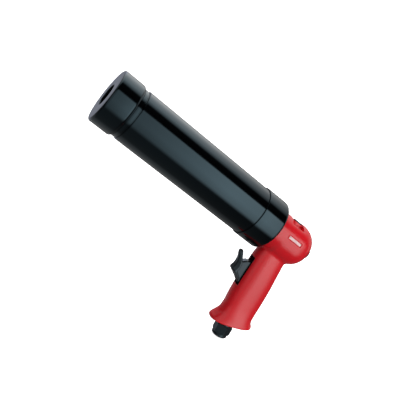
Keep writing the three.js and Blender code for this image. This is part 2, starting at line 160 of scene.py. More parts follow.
def turned(name, corners, body, replaces, material, place=None, segments=None, swell=None, extra=None):
    """A body of revolution about X. The outline closes on itself, or starts and ends on the axis."""
    segments = segments or SEGMENTS
    on_axis = corners[0][1] == 0
    outline = rounded(corners, not on_axis)
    if extra is not None:
        outline = extra(outline)
    grid = turned_points(outline, segments, swell)
    rows = len(outline)
    points = grid.reshape(-1, 3)
    faces = []
    for i in range(rows if not on_axis else rows - 1):
        j = (i + 1) % rows
        for k in range(segments):
            n = (k + 1) % segments
            a, b, c, d = i * segments + k, j * segments + k, j * segments + n, i * segments + n
            if on_axis and i == 0:
                faces.append((0, b, c))
            elif on_axis and i == rows - 2:
                faces.append((a, (rows - 1) * segments, d))
            else:
                faces.append((a, b, c, d))
    ahead = np.roll(outline, -1, 0)
    turn = np.sum(outline[:, 0] * ahead[:, 1] - ahead[:, 0] * outline[:, 1])
    if turn < 0:
        faces = [f[::-1] for f in faces]
    used = np.unique(np.concatenate([np.array(f) for f in faces]))
    index = -np.ones(len(points), int)
    index[used] = np.arange(len(used))
    points = points[used]
    faces = [tuple(int(index[v]) for v in f) for f in faces]
    if place is not None:
        points = place(points)
    return add_mesh(name, points, faces, body, replaces, material, sharp=38)


def along_valve(points):
    return points + [0, 0, VALVE_Z]


def along_button(points):
    return np.stack([BUTTON_X - points[:, 2], points[:, 1], points[:, 0]], -1)


def grip_point(down, forward, left):
    s, c = math.sin(GRIP_RAKE), math.cos(GRIP_RAKE)
    return np.stack([GRIP_ORIGIN_X - down * s + forward * c, left + 0 * down, -down * c - forward * s], -1)


def along_inlet(points):
    return grip_point(points[:, 0], INLET_OFFSET + points[:, 2], points[:, 1])


def along_pin(points):
    return np.stack([PIVOT[0] - points[:, 1], points[:, 0], PIVOT[2] + points[:, 2]], -1)


# ---- distance fields ---------------------------------------------------------------------

def soft_min(a, b, k):
    h = np.clip(0.5 + 0.5 * (b - a) / k, 0, 1)
    return b + (a - b) * h - k * h * (1 - h)


def soft_max(a, b, k):
    return -soft_min(-a, -b, k)


def step(value, low, high):
    t = np.clip((value - low) / (high - low), 0, 1)
    return t * t * (3 - 2 * t)


def slab(value, low, high):
    return np.abs(value - (low + high) / 2) - (high - low) / 2


def block(p, low, high, radius=0.3):
    d = [slab(p[i], low[i] + radius, high[i] - radius) for i in range(3)]
    outside = np.sqrt(sum(np.maximum(v, 0) ** 2 for v in d))
    return outside + np.minimum(np.maximum.reduce(d), 0) - radius


def drill(p, start, end, radius):
    """A round hole or rod with flat ends."""
    a, b = np.array(start, float), np.array(end, float)
    length = np.linalg.norm(b - a)
    n = (b - a) / length
    d = [p[i] - a[i] for i in range(3)]
    t = d[0] * n[0] + d[1] * n[1] + d[2] * n[2]
    r = np.sqrt(np.maximum(sum(v * v for v in d) - t * t, 0))
    return np.maximum(r - radius, slab(t, 0, length))


def polygon(u, v, corners):
    """Distance to a closed outline, negative inside it."""
    corners = np.array(corners, float)
    best = np.full(u.shape, 1e9)
    inside = np.zeros(u.shape, bool)
    for i in range(len(corners)):
        (u0, v0), (u1, v1) = corners[i - 1], corners[i]
        e0, e1 = u1 - u0, v1 - v0
        if abs(e0) + abs(e1) < 1e-9:
            continue
        w0, w1 = u - u0, v - v0
        t = np.clip((w0 * e0 + w1 * e1) / (e0 * e0 + e1 * e1), 0, 1)
        best = np.minimum(best, (w0 - e0 * t) ** 2 + (w1 - e1 * t) ** 2)
        crosses = ((v0 > v) != (v1 > v)) & (w0 < e0 * w1 / (e1 if e1 else 1e-9))
        inside ^= crosses
    return np.where(inside, -1, 1) * np.sqrt(best)


def curve_through(stations, value):
    """A smooth curve through (position, value) stations."""
    x, y = np.array(stations, float).T
    slope = np.gradient(y, x)
    i = np.clip(np.searchsorted(x, value) - 1, 0, len(x) - 2)
    h = x[i + 1] - x[i]
    t = np.clip((value - x[i]) / h, 0, 1)
    t2, t3 = t * t, t * t * t
    return ((2 * t3 - 3 * t2 + 1) * y[i] + (t3 - 2 * t2 + t) * h * slope[i]
            + (3 * t2 - 2 * t3) * y[i + 1] + (t3 - t2) * h * slope[i + 1])


def carve(name, field, low, high, cell, body, replaces, material):
    """Turns a distance field into a closed mesh of quads whose points lie on the surface."""
    low = np.array(low, float) - 2.37 * cell  # keeps the grid's planes off the flat faces
    span = np.array(high, float) + 2 * cell - low
    blocks = np.ceil(span / (4 * cell)).astype(int) + 1
    centre = [low[i] + (np.arange(blocks[i]) * 4 + 1.5) * cell for i in range(3)]
    coarse = field(np.meshgrid(*centre, indexing="ij"))
    values = coarse.repeat(4, 0).repeat(4, 1).repeat(4, 2).astype(np.float32)
    near = np.abs(values) < 7.5 * cell
    where = np.nonzero(near)
    values[near] = field([low[i] + where[i] * cell for i in range(3)])
    inside = values < 0
    base = tuple(slice(0, -1) for _ in range(3))
    corner = [(i, j, k) for i in (0, 1) for j in (0, 1) for k in (0, 1)]
    shape = np.array(values.shape) - 1
    count = np.zeros(shape, np.int8)
    for c in corner:
        count += inside[tuple(slice(c[i], c[i] + shape[i]) for i in range(3))]
    cells = np.stack(np.nonzero((count > 0) & (count < 8)), -1)
    points = np.zeros((len(cells), 3))
    crossed = np.zeros(len(cells))
    for c in corner:
        for axis in range(3):
            if c[axis]:
                continue
            d = tuple(c[i] + (i == axis) for i in range(3))
            a = values[tuple((cells + c).T)]
            b = values[tuple((cells + d).T)]
            cut = (a < 0) != (b < 0)
            t = np.where(cut, a / np.where(cut, a - b, 1), 0)
            spot = cells + np.array(c) + t[:, None] * (np.array(d) - np.array(c))
            points += np.where(cut[:, None], spot, 0)
            crossed += cut
    points = low + points / crossed[:, None] * cell
    start = points.copy()
    for _ in range(4):
        here, slope = field(points.T), gradient(field, points)
        size = np.maximum((slope ** 2).sum(1), 0.05)
        points = points - slope * (here / size)[:, None]
        points = np.clip(points, start - 0.7 * cell, start + 0.7 * cell)
    slope = gradient(field, points)
    normals = slope / np.maximum(np.linalg.norm(slope, axis=1), 1e-6)[:, None]
    number = -np.ones(shape, np.int32)
    number[tuple(cells.T)] = np.arange(len(cells))
    faces = []
    for axis in range(3):
        u, v = (axis + 1) % 3, (axis + 2) % 3
        first = tuple(slice(0, -1) if i == axis else slice(1, -1) for i in range(3))
        second = tuple(slice(1, None) if i == axis else slice(1, -1) for i in range(3))
        edge = inside[first] != inside[second]
        at = np.stack(np.nonzero(edge), -1)
        at[:, u] += 1
        at[:, v] += 1
        du, dv = np.eye(3, dtype=int)[u], np.eye(3, dtype=int)[v]
        quad = np.stack([number[tuple((at - du - dv).T)], number[tuple((at - dv).T)],
                         number[tuple(at.T)], number[tuple((at - du).T)]], -1)
        flip = ~inside[tuple(at.T)]
        quad[flip] = quad[flip][:, ::-1]
        faces.append(quad)
    faces = np.concatenate(faces)
    return add_mesh(name, points, faces.tolist(), body, replaces, material, normals=normals)


def gradient(field, points):
    slope = np.zeros_like(points)
    for axis in range(3):
        shift = np.zeros(3)
        shift[axis] = 0.05
        slope[:, axis] = (field((points + shift).T) - field((points - shift).T)) / 0.1
    return slope


# ---- casting -----------------------------------------------------------------------------

GRIP_FRONT = [(8, 12.5), (30, 17.6), (45, 19), (60, 20), (72, 20.4), (86, 20.4), (100, 20),
              (107, 21.2), (112, 24.6), (115.5, 27.2), (117.5, 27.7), (119, 27.7)]
GRIP_BACK = [(8, 18.5), (30, 19.2), (45, 19.9), (60, 20.7), (72, 21.1), (86, 21.2), (100, 21),
             (107, 21), (112, 22.2), (115.5, 24.4), (117.5, 25), (119, 25)]
GRIP_SIDE = [(8, 13), (30, 13.7), (45, 14.2), (60, 14.5), (72, 14.3), (86, 13.8), (100, 13.5), (107, 14.2),
             (112, 15.3), (115.5, 15.9), (119, 16)]


def head(p):
    x, y, z = p
    drop = 2.4 * step(-x, 236, 242)
    level = np.where(z < -drop, z + drop, np.maximum(z, 0))
    r = np.hypot(y, level)
    neck = 22.7 + 0.5 * step(-x, 239, 249)
    body = np.where(x < DOME_CENTRE, np.hypot(x - DOME_CENTRE, r) - HEAD_R, r - neck)
    return np.maximum(body, x + 217)


def grip(p):
    x, y, z = p
    s, c = math.sin(GRIP_RAKE), math.cos(GRIP_RAKE)
    dx = x - GRIP_ORIGIN_X
    down, forward = -dx * s - z * c, dx * c - z * s
    station = down + FOOT_TILT * step(down, 86, GRIP_FOOT) * (INLET_OFFSET - forward)
    reach = np.where(forward > 0, curve_through(GRIP_FRONT, station), curve_through(GRIP_BACK, station))
    side = curve_through(GRIP_SIDE, station)
    n = 2.44
    u, v = np.abs(forward) + 1e-6, np.abs(y) + 1e-6
    q = (u / reach) ** n + (v / side) ** n
    root = q ** (1 / n - 1)
    slope = np.hypot(root * u ** (n - 1) / reach ** n, root * v ** (n - 1) / side ** n)
    column = (q ** (1 / n) - 1) / np.maximum(slope, 0.03)
    return soft_max(soft_max(column, station - GRIP_FOOT, 1.3), 8 - station, 0.5)


def badge_local(p, side):
    c, s = math.cos(BADGE_TILT), math.sin(BADGE_TILT) * side
    return p[0] - BADGE_X, side * (p[1] * c + p[2] * s), p[2] * c - p[1] * s


def oblong(p, length, width, low, high):
    u = np.maximum(np.abs(p[0] - BUTTON_X) - (length - width) / 2, 0)
    return np.maximum(np.hypot(u, p[1]) - width / 2, slab(p[2], low, high))


def casting(p):
    x, y, z = p
    crown = soft_max(head(p), -block(p, (-256, -40, 18), (-239.5, 40, 40), 0.3), 0.5)
    boss = soft_max(oblong(p, BUTTON_LENGTH + 2.8, BUTTON_WIDTH + 2.8, 16, 40), z - 21.6, 0.6)
    body = soft_min(soft_min(crown, grip(p), 3.2), boss, 0.6)
    r = np.hypot(y, z)
    flange = np.maximum(r - 28.6, slab(x, -220.4, -216.9))
    spigot = np.maximum(r - 26.2, slab(x, -217.2, -212.5))
    body = np.minimum(np.minimum(body, flange), spigot)
    body = soft_max(body, -oblong(p, BUTTON_LENGTH + 2 * GAP, BUTTON_WIDTH + 2 * GAP, 15.3, 30), 0.4)
    slot = block(p, (SLOT_BACK, -SLOT_HALF_WIDTH, SLOT_BOTTOM), (-215, SLOT_HALF_WIDTH, SLOT_TOP), 0.8)
    body = soft_max(body, -slot, 0.7)
    inlet = grip_point(np.array([104.0, 116.3, 125.0]), INLET_OFFSET, 0)
    cuts = [
        ((-211, 0, 0), (-256, 0, 0), 7), ((-211, 0, 0), (-216.5, 0, 0), 9.3),
        ((-255, 0, 0), (-264, 0, 0), 1.8),
        ((-263, 0, 0), (-290, 0, 0), 3.6), ((-281, 0, 0), (-290, 0, 0), 6.9),
        ((-248, 0, VALVE_Z), (-272.4, 0, VALVE_Z), 4.8), ((-258.3, 0, VALVE_Z), (-246, 0, 0), 2.4),
        ((-268, 0, VALVE_Z), grip_point(np.array(105.0), INLET_OFFSET, 0), 2.4),
        ((BUTTON_X, 0, 0), (BUTTON_X, 0, 16.3), 2.1),
        ((PIVOT[0], -20, PIVOT[2]), (PIVOT[0], 9, PIVOT[2]), 1.8),
        (inlet[0], inlet[2], 6.5), (inlet[1], inlet[2], 8.6),
    ]
    for start, end, radius in cuts:
        body = soft_max(body, -drill(p, start, end, radius), 0.3)
    for side in (1, -1):
        recess = block(badge_local(p, side), (-9.4, 22.25, -2.3), (9.4, 30, 2.3), 0.2)
        body = soft_max(body, -recess, 0.4)
    return body


def label(side):
    def field(p):
        u, v, w = badge_local(p, side)
        plate = block((u, v, w), (-8.6, 22.3, -1.5), (8.6, 23.2, 1.5), 0.25)
        border = np.maximum(np.abs(np.maximum(np.abs(u) - 8.0, np.abs(w) - 0.9)) - 0.12, 23.0 - v)
        return soft_max(plate, -border, 0.1)
    return field


# ---- trigger, button and inlet -----------------------------------------------------------

def bend(start, control, end, steps=8):
    t = np.linspace(0, 1, steps + 1)[1:, None]
    start, control, end = (np.array(v, float) for v in (start, control, end))
    return [tuple(q) for q in start * (1 - t) ** 2 + 2 * control * t * (1 - t) + end * t * t]


PAD_FACE = [
    (-217.8, -39.6), *bend((-217.8, -39.6), (-216.4, -41.2), (-218, -44.2)),
    *bend((-218, -44.2), (-225.6, -54.4), (-223, -62.2), 14),
    *bend((-223, -62.2), (-222.8, -64.4), (-225.4, -65.2)),
    (-238, -71.4),
]
PAD_SIDE = [
    *PAD_FACE, (-238, -67.6), (-230, -62), *bend((-230, -62), (-230.8, -55), (-226.6, -48.4), 12),
    (-222.4, -41.4), *bend((-222.4, -41.4), (-220.4, -38.2), (-217.8, -39.6), 6),
]
PAD_FRONT = [
    (-2.8, -41.8), *bend((-2.8, -41.8), (0, -36.8), (2.8, -41.8)),
    *bend((2.8, -41.8), (4, -46.6), (6.4, -51.6)),
    *bend((6.4, -51.6), (7.6, -57.6), (7.2, -63.6)), (5.6, -72), (-5.6, -72), (-7.2, -63.6),
    *bend((-7.2, -63.6), (-7.6, -57.6), (-6.4, -51.6)), *bend((-6.4, -51.6), (-4, -46.6), (-2.8, -41.8)),
]
WEB_SIDE = [
    (-227.4, -50.6), (-232, -46.4), (-242, -43), (-243.2, -46), (-243.2, -54), (-247.6, -69.2),
    (-248, -71), (-247.5, -72.9), (-246.2, -73.9), (-243.6, -73.8), (-238, -71.8), (-227.4, -65.4),
]


def trigger_shape(p):
    x, y, z = p
    face_x, face_z = np.array(PAD_FACE).T
    lean = np.clip(x - np.interp(-z, -face_z, face_x) + 4, 0, 4) * (0.25 + 0.5 * step(-z, 43, 53))
    pad = soft_max(polygon(x, z, PAD_SIDE), polygon(y, z, PAD_FRONT) + lean, 1.2)
    web = soft_max(polygon(x, z, WEB_SIDE), np.abs(y) - 4.7, 2.2)
    body = soft_min(pad, web, 0.7)
    hole = np.hypot(x - PIVOT[0], z - PIVOT[2]) - 1.8
    return soft_max(body, -hole, 0.3)


def button_shape(p):
    crown = 0.008 * (p[0] - BUTTON_X) ** 2 + 0.02 * p[1] ** 2
    top = soft_max(oblong(p, BUTTON_LENGTH, BUTTON_WIDTH, 18.2, 40), p[2] - BUTTON_TOP + crown, 0.8)
    stem = np.maximum(np.hypot(p[0] - BUTTON_X, p[1]) - 1.3, slab(p[2], 6, 19))
    return np.minimum(top, stem)


def bushing_shape(p):
    s, c = math.sin(GRIP_RAKE), math.cos(GRIP_RAKE)
    dx = p[0] - GRIP_ORIGIN_X
    down = -dx * s - p[2] * c
    across = dx * c - p[2] * s - INLET_OFFSET
    r = np.hypot(across, p[1])
    faces = (math.pi / 6, math.pi / 2, -math.pi / 6)
    flats = [np.abs(p[1] * math.cos(a) + across * math.sin(a)) for a in faces]
    hexagon = soft_max(np.maximum.reduce(flats) - 9.5, slab(down, 123, 134), 0.3)
    cone = np.maximum(r + (down - 134) * 0.9 - 9.8, r - (down - 123) * 0.9 - 9.8)
    hexagon = soft_max(hexagon, cone, 0.3)
    nose = soft_max(r - 9.4 + 0.8 * np.maximum(down - 137, 0), slab(down, 133.5, 138.3), 0.5)
    neck = np.maximum(r - 8.4, slab(down, 118.8, 123.5))
    spigot = np.maximum(r - 6.2, slab(down, 106, 120))
    body = np.minimum(np.minimum(hexagon, nose), np.minimum(neck, spigot))
    body = soft_max(body, -np.maximum(r - 4.2, down - 126), 0.2)
    return soft_max(body, -np.maximum(r - 5.8, 125 - down), 0.4)


# ---- materials ---------------------------------------------------------------------------

def material(name, color, roughness, metallic=0.0, **extra):
    """A Principled material; speckle varies its colour and roughness, and grain its surface."""
    made = bpy.data.materials.new(name)
    made.use_nodes = True
    tree = made.node_tree
    shader = tree.nodes["Principled BSDF"]
    shader.inputs["Metallic"].default_value = metallic
    for key, value in extra.get("sockets", {}).items():
        shader.inputs[key].default_value = value
    coords = tree.nodes.new("ShaderNodeTexCoord")

    def noise(scale, detail=3.0):
        node = tree.nodes.new("ShaderNodeTexNoise")
        node.inputs["Scale"].default_value = scale
        node.inputs["Detail"].default_value = detail
        tree.links.new(coords.outputs["Object"], node.inputs["Vector"])
        return node

    ramp = tree.nodes.new("ShaderNodeValToRGB")
    spread = extra.get("spread", 0.12)
    for element, factor in zip(ramp.color_ramp.elements, (1 - spread, 1 + spread)):
        element.color = (*[min(1.0, v * factor) for v in color], 1)
    ramp.color_ramp.elements[0].position = 0.3
    ramp.color_ramp.elements[1].position = 0.7
    tree.links.new(noise(extra.get("mottle", 60)).outputs["Fac"], ramp.inputs["Fac"])
    tree.links.new(ramp.outputs["Color"], shader.inputs["Base Color"])
    # painted shade: a box of the surface is coloured near-black
    if "bare" in extra:
        keep_bare(tree, coords, ramp, shader, *extra["bare"])

    rough = tree.nodes.new("ShaderNodeMapRange")
    rough.inputs["To Min"].default_value = roughness * (1 - extra.get("wear", 0.12))
    rough.inputs["To Max"].default_value = roughness * (1 + extra.get("wear", 0.12))
    tree.links.new(noise(extra.get("smudge", 35), 4).outputs["Fac"], rough.inputs["Value"])
    tree.links.new(rough.outputs["Result"], shader.inputs["Roughness"])

    bump = tree.nodes.new("ShaderNodeBump")
    bump.inputs["Strength"].default_value = extra.get("grain", 0.05)
    bump.inputs["Distance"].default_value = 0.0002
    tree.links.new(noise(extra.get("grain_scale", 900), 2).outputs["Fac"], bump.inputs["Height"])
    tree.links.new(bump.outputs["Normal"], shader.inputs["Normal"])
    return made


# The box of painted shade inside the trigger's slot.
SLOT_LOW = ORIGIN + MM * np.array([SLOT_BACK - 0.4, -SLOT_HALF_WIDTH - 0.1, SLOT_BOTTOM - 0.3])
SLOT_HIGH = ORIGIN + MM * np.array([-225, SLOT_HALF_WIDTH + 0.1, SLOT_TOP + 0.3])


def keep_bare(tree, coords, paint, shader, low, high, color):
    """Paints the surface near-black inside a box: painted shade for the trigger's slot."""
    spots = tree.nodes.new("ShaderNodeSeparateXYZ")
    tree.links.new(coords.outputs["Object"], spots.inputs["Vector"])
    mask = None
    for axis, start, end in zip("XYZ", low, high):
        within = tree.nodes.new("ShaderNodeMath")
        within.operation = "COMPARE"
        within.inputs[1].default_value = (start + end) / 2
        within.inputs[2].default_value = (end - start) / 2
        tree.links.new(spots.outputs[axis], within.inputs[0])
        if mask is not None:
            both = tree.nodes.new("ShaderNodeMath")
            both.operation = "MULTIPLY"
            tree.links.new(mask, both.inputs[0])
            tree.links.new(within.outputs["Value"], both.inputs[1])
            within = both
        mask = within.outputs["Value"]
    mix = tree.nodes.new("ShaderNodeMixRGB")
    mix.inputs["Color2"].default_value = (*color, 1)
    tree.links.new(mask, mix.inputs["Fac"])
    tree.links.new(paint.outputs["Color"], mix.inputs["Color1"])
    tree.links.new(mix.outputs["Color"], shader.inputs["Base Color"])


BLACK_PAINT = material(
    "black_enamel", (0.0005, 0.0005, 0.0008), 0.11, spread=0.2, grain=0.02, grain_scale=500,
    sockets={"Specular Tint": (0.55, 0.85, 1.0, 1), "IOR": 1.5})
# The red casting carries painted shade: its trigger slot is coloured near-black.
RED_PAINT = material(
    "red_enamel", (0.72, 0.0105, 0.019), 0.24, spread=0.04, mottle=25, grain=0.06, grain_scale=700,
    sockets={"IOR": 1.5}, bare=(SLOT_LOW, SLOT_HIGH, (0.03, 0.002, 0.003)))
BLACK_PLASTIC = material(
    "black_moulding", (0.004, 0.005, 0.006), 0.26, grain=0.12, grain_scale=1600,
    sockets={"Specular Tint": (0.7, 0.9, 1.0, 1)})
BLACK_STEEL = material(
    "black_oxide", (0.008, 0.010, 0.012), 0.3, wear=0.3, grain=0.08,
    sockets={"Specular Tint": (0.6, 0.9, 1.0, 1)})
RUBBER = material("black_rubber", (0.008, 0.008, 0.008), 0.65, grain=0.3, grain_scale=1500)
BRASS = material("turned_brass", (0.69, 0.46, 0.16), 0.28, 1.0, wear=0.3)
STEEL = material("drawn_steel", (0.62, 0.63, 0.65), 0.24, 1.0, wear=0.3)
LABEL = material("pale_label", (1.0, 0.7, 0.7), 0.35, spread=0.03, grain=0.03)
OF_SLOT = {
    "black_paint": BLACK_PAINT, "red_paint": RED_PAINT, "black_plastic": BLACK_PLASTIC,
    "black_steel": BLACK_STEEL, "rubber": RUBBER, "brass": BRASS, "steel": STEEL, "badge": LABEL,
}
for row in frame["record"]["subparts"]:
    shown = frame["nodes"][row["node"]]
    shown.data.materials.clear()
    shown.data.materials.append(OF_SLOT[row["material_slot"]])


# ---- pieces ------------------------------------------------------------------------------

def threaded(first, last, crest, depth, pitch):
    """Swells an outline's crest between two positions into a screw thread."""
    def swell(x, r, angles):
        turn = (x / pitch - angles / (2 * math.pi)) % 1
        ridge = np.clip(np.abs(turn - 0.5) * 4 - 0.35, 0, 1)
        run = step(x, last, last + 1.2) * (1 - step(x, first - 1.2, first))
        on = (np.abs(r - crest) < 0.01) * run
        return x, r - depth * ridge * on
    return swell


def finely(first, last, spacing):
    """Adds outline points between two positions along a straight stretch."""
    def extra(outline):
        made = []
        for i, point in enumerate(outline):
            made.append(point)
            after = outline[(i + 1) % len(outline)]
            long = abs(after[0] - point[0])
            if abs(after[1] - point[1]) < 1e-6 and long > 15 and abs(point[1] - NECK_R) < 0.1:
                for t in np.linspace(0, 1, int(long / spacing) + 1)[1:-1]:
                    made.append(point + (after - point) * t)
        return np.array(made)
    return extra


turned("cap", [
    (0, 12, 0.6), (0, RING_R, 2.4), (-23.7, RING_R, 2.6), (-25.4, 28.75, 0.6), (-25.4, NECK_R + GAP, 0.2),
    (-3.5, NECK_R + GAP, 0.5), (-3.5, 12, 0.4),
], "front_cap", ["front_cap"], BLACK_PAINT)
turned("thread_ring", [
    (-6.1, 25.4), (-6.1, NECK_R, 0.7), (-25.1, NECK_R), (-25.3, 27.1), (-26.3, 27.1, 0.2),
    (-26.5, NECK_R, 0.35), (-30.3, NECK_R, 0.35), (-30.5, 27.1, 0.2), (-31.4, 27.1),
    (-31.4, 26.2), (-40.4, 26.2), (-40.4, 25.4),
], "housing", ["front_thread_ring"], BLACK_PAINT,
    swell=threaded(-7.5, -24.8, NECK_R, 0.9, THREAD_PITCH), extra=finely(-6.1, -25.1, 0.25))
turned("barrel", [
    (-31.7, BORE_R), (-31.7, TUBE_R, 0.5), (-214.5, TUBE_R, 0.3), (-214.5, BORE_R),
], "housing", ["barrel_tube"], BLACK_PAINT)
turned("collar", [
    (-196.5, TUBE_R + GAP), (-196.5, RING_R, 0.4), (-226.2, RING_R, 3.8), (-226.2, 23.9, 0.4),
    (-222.0, 23.9), (-222.0, TUBE_R + GAP),
], "housing", ["rear_collar"], BLACK_PAINT)
turned("nose_washer", [(-3.8, 13, 0.4), (-3.8, 26.5, 0.3), (-5.8, 26.5, 0.3), (-5.8, 13, 0.4)],
       "cap_washer", ["cap_washer"], RUBBER)
turned("locking_washer", [(-220.7, 24.4), (-220.7, 28.6, 0.2), (-221.7, 28.6, 0.2), (-221.7, 24.4)],
       "housing", ["collar_washer"], RUBBER)
turned("tube_gasket", [(-214.8, 26.6), (-214.8, 28.6, 0.3), (-216.6, 28.6, 0.3), (-216.6, 26.6)],
       "housing", ["barrel_gasket"], RUBBER)
turned("tail_seal", [(-212.2, 17, 0.2), (-209.2, 20, 0.5), (-209.2, 24.5, 0.5), (-212.2, 26, 0.3)],
       "housing", ["cartridge_seal"], RUBBER)
turned("air_plug", [
    (-212.9, 2, 0.2), (-212.9, 9, 0.5), (-216.2, 9, 0.2), (-216.2, 6.7), (-220.9, 6.7), (-220.9, 5),
    (-217.9, 5), (-217.9, 2),
], "housing", ["chamber_plug"], BRASS, segments=96)
turned("gauze", [(-218.2, 0), (-218.2, 4.7, 0.2), (-219.4, 4.7, 0.2), (-219.4, 0)],
       "housing", ["air_screen"], BRASS, segments=64)
turned("bleed_poppet", [(5.7, 0), (5.7, 3.2, 0.4), (3.7, 3.2, 0.4), (3.7, 0)],
       "release_button", ["release_poppet"], RUBBER, place=along_button, segments=48)
turned("needle_seal", [(-271.9, 2.7, 0.8), (-271.9, 3.3, 0.2), (-273.9, 3.3, 0.2), (-273.9, 2.7)],
       "regulator_screw", ["regulator_seal"], RUBBER, segments=48)
turned("pivot_pin", [(-9.6, 0), (-9.6, 1.5, 0.35), (8.6, 1.5, 0.35), (8.6, 0)],
       "housing", ["trigger_pin"], STEEL, place=along_pin, segments=48)
turned("stem_guide", [(-249.3, 1.8), (-249.3, 4.5, 0.4), (-254.4, 4.5, 0.3), (-254.4, 1.8)],
       "housing", ["valve_bush"], BRASS, place=along_valve, segments=64)
turned("stem_packing", [(-254.7, 1.8), (-254.7, 4.5, 0.5), (-256.3, 4.5, 0.5), (-256.3, 1.8)],
       "housing", ["stem_seal"], RUBBER, place=along_valve, segments=64)
turned("air_seat", [(-260.4, 2.6), (-260.4, 4.5, 0.2), (-262, 4.5, 0.2), (-262, 2.6, 0.2)],
       "housing", ["valve_seat"], BRASS, place=along_valve, segments=64)
turned("stem", [
    (-243.5, 0), (-243.5, 1.5, 0.4), (-262.3, 1.5), (-262.3, 3.6, 0.3), (-263.8, 3.6, 0.3), (-263.8, 1.6),
    (-265.6, 1.6, 0.3), (-265.6, 0),
], "valve_stem", ["valve_stem"], BRASS, place=along_valve, segments=64)
turned("foot_seal", [(116.6, 6.6, 0.3), (116.6, 8.2, 0.3), (118.2, 8.2, 0.3), (118.2, 6.6, 0.3)],
       "housing", ["inlet_seal"], RUBBER, place=along_inlet, segments=64)
turned("inlet_gauze", [(125.3, 0), (125.3, 5.4, 0.2), (126.4, 5.4, 0.2), (126.4, 0)],
       "housing", ["inlet_screen"], BRASS, place=along_inlet, segments=64)


def knob_shape(p):
    x, r = p[0], np.hypot(p[1], p[2])
    head_part = soft_max(r - 6.6, slab(x, -284.6, -281.3), 0.6)
    shank = np.maximum(r - 3.3, slab(x, -281.4, -265))
    shank = np.maximum(shank, -np.maximum(slab(x, -274.2, -271.6), 2.4 - r))
    taper = np.interp(-x, [258.5, 263.6, 263.7, 265], [0, 1.4, 2.6, 3.3])
    needle = np.maximum(r - taper, slab(x, -265.1, -258.5))
    body = np.minimum(np.minimum(head_part, shank), needle)
    return soft_max(body, -block(p, (-290, -0.7, -8), (-283.4, 0.7, 8), 0.1), 0.2)


FINE = 0.28
carve("casting", casting, (-293, -29, -125), (-212, 29, 29), CELL,
      "housing", ["head_body"], RED_PAINT)
carve("trigger_shoe", trigger_shape, (-249, -8, -75), (-216.5, 8, -37), FINE * 1.3,
      "trigger", ["trigger"], BLACK_PLASTIC)
carve("thumb_button", button_shape, (-256, -4, 5.5), (-242.5, 4, 23.2), FINE,
      "release_button", ["release_button"], BLACK_PLASTIC)
carve("flow_screw_head", knob_shape, (-285, -7, -7), (-258, 7, 7), FINE,
      "regulator_screw", ["regulator_screw"], BLACK_STEEL)
carve("hose_bushing", bushing_shape, (-281, -11.2, -138.5), (-254, 11.2, -102), FINE * 1.2,
      "housing", ["inlet_bushing"], BLACK_STEEL)
for side, name in ((1, "left"), (-1, "right")):
    low, high = sorted((side * 20.0, side * 24.2))
    carve("label_" + name, label(side), (BADGE_X - 9, low, 1.5), (BADGE_X + 9, high, 9.5), 0.2,
          "housing", ["badge_" + name], LABEL)


def coil(name, fixed, free, radius, wire, turns, node, place):
    """A spring coiled from its fixed end to its free end."""
    steps, sides = turns * 40, 12
    t = np.arange(steps + 1) / steps
    a = 2 * math.pi * turns * t
    middle = np.stack([fixed + (free - fixed) * t, radius * np.cos(a), radius * np.sin(a)], -1)
    out = np.stack([0 * a, np.cos(a), np.sin(a)], -1)
    along = np.array([1.0, 0, 0])
    rows = []
    for k in range(sides):
        b = 2 * math.pi * k / sides
        rows.append(middle + wire / 2 * (math.cos(b) * out + math.sin(b) * along))
    points = np.stack(rows, 1).reshape(-1, 3)
    faces = []
    for i in range(steps):
        for k in range(sides):
            here, beside = i * sides + k, i * sides + (k + 1) % sides
            faces.append((here, here + sides, beside + sides, beside))
    faces.append(tuple(range(sides)))
    faces.append(tuple(steps * sides + k for k in range(sides))[::-1])
    piece = add_mesh(name, place(points), faces, "housing", [node], STEEL, sharp=50)
    overhang = math.copysign(wire / 2, free - fixed)
    ends = place(np.array([[fixed - overhang, 0, 0], [free + overhang, 0, 0]])) * MM + ORIGIN
    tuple(ends[0])
    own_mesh(piece)


coil("poppet_spring", 16.1, 17.5, 2.6, 0.7, 2, "release_spring", along_button)
coil("stem_spring", -271.6, -264.7, 3.0, 0.8, 4, "valve_spring", along_valve)


# ---- stage, light and camera -------------------------------------------------------------

def white(name, glow):
    made = bpy.data.materials.new(name)
    made.use_nodes = True
    shader = made.node_tree.nodes["Principled BSDF"]
    shader.inputs["Base Color"].default_value = (0.9, 0.9, 0.9, 1)
    shader.inputs["Roughness"].default_value = 0.9
    shader.inputs["Specular IOR Level"].default_value = 0.0
    shader.inputs["Emission Color"].default_value = (1, 1, 1, 1)
    shader.inputs["Emission Strength"].default_value = glow
    return made


def stage_piece(name, points, faces, glow):
    mesh = bpy.data.meshes.new(name)
    mesh.from_pydata(points, [], faces)
    mesh.polygons.foreach_set("use_smooth", [True] * len(mesh.polygons))
    mesh.materials.append(white(name, glow))
    piece = bpy.data.objects.new(name, mesh)
    bpy.context.scene.collection.objects.link(piece)
    piece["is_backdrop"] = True
    piece.visible_glossy = False
    piece.visible_diffuse = False
    piece.visible_shadow = False
    return piece


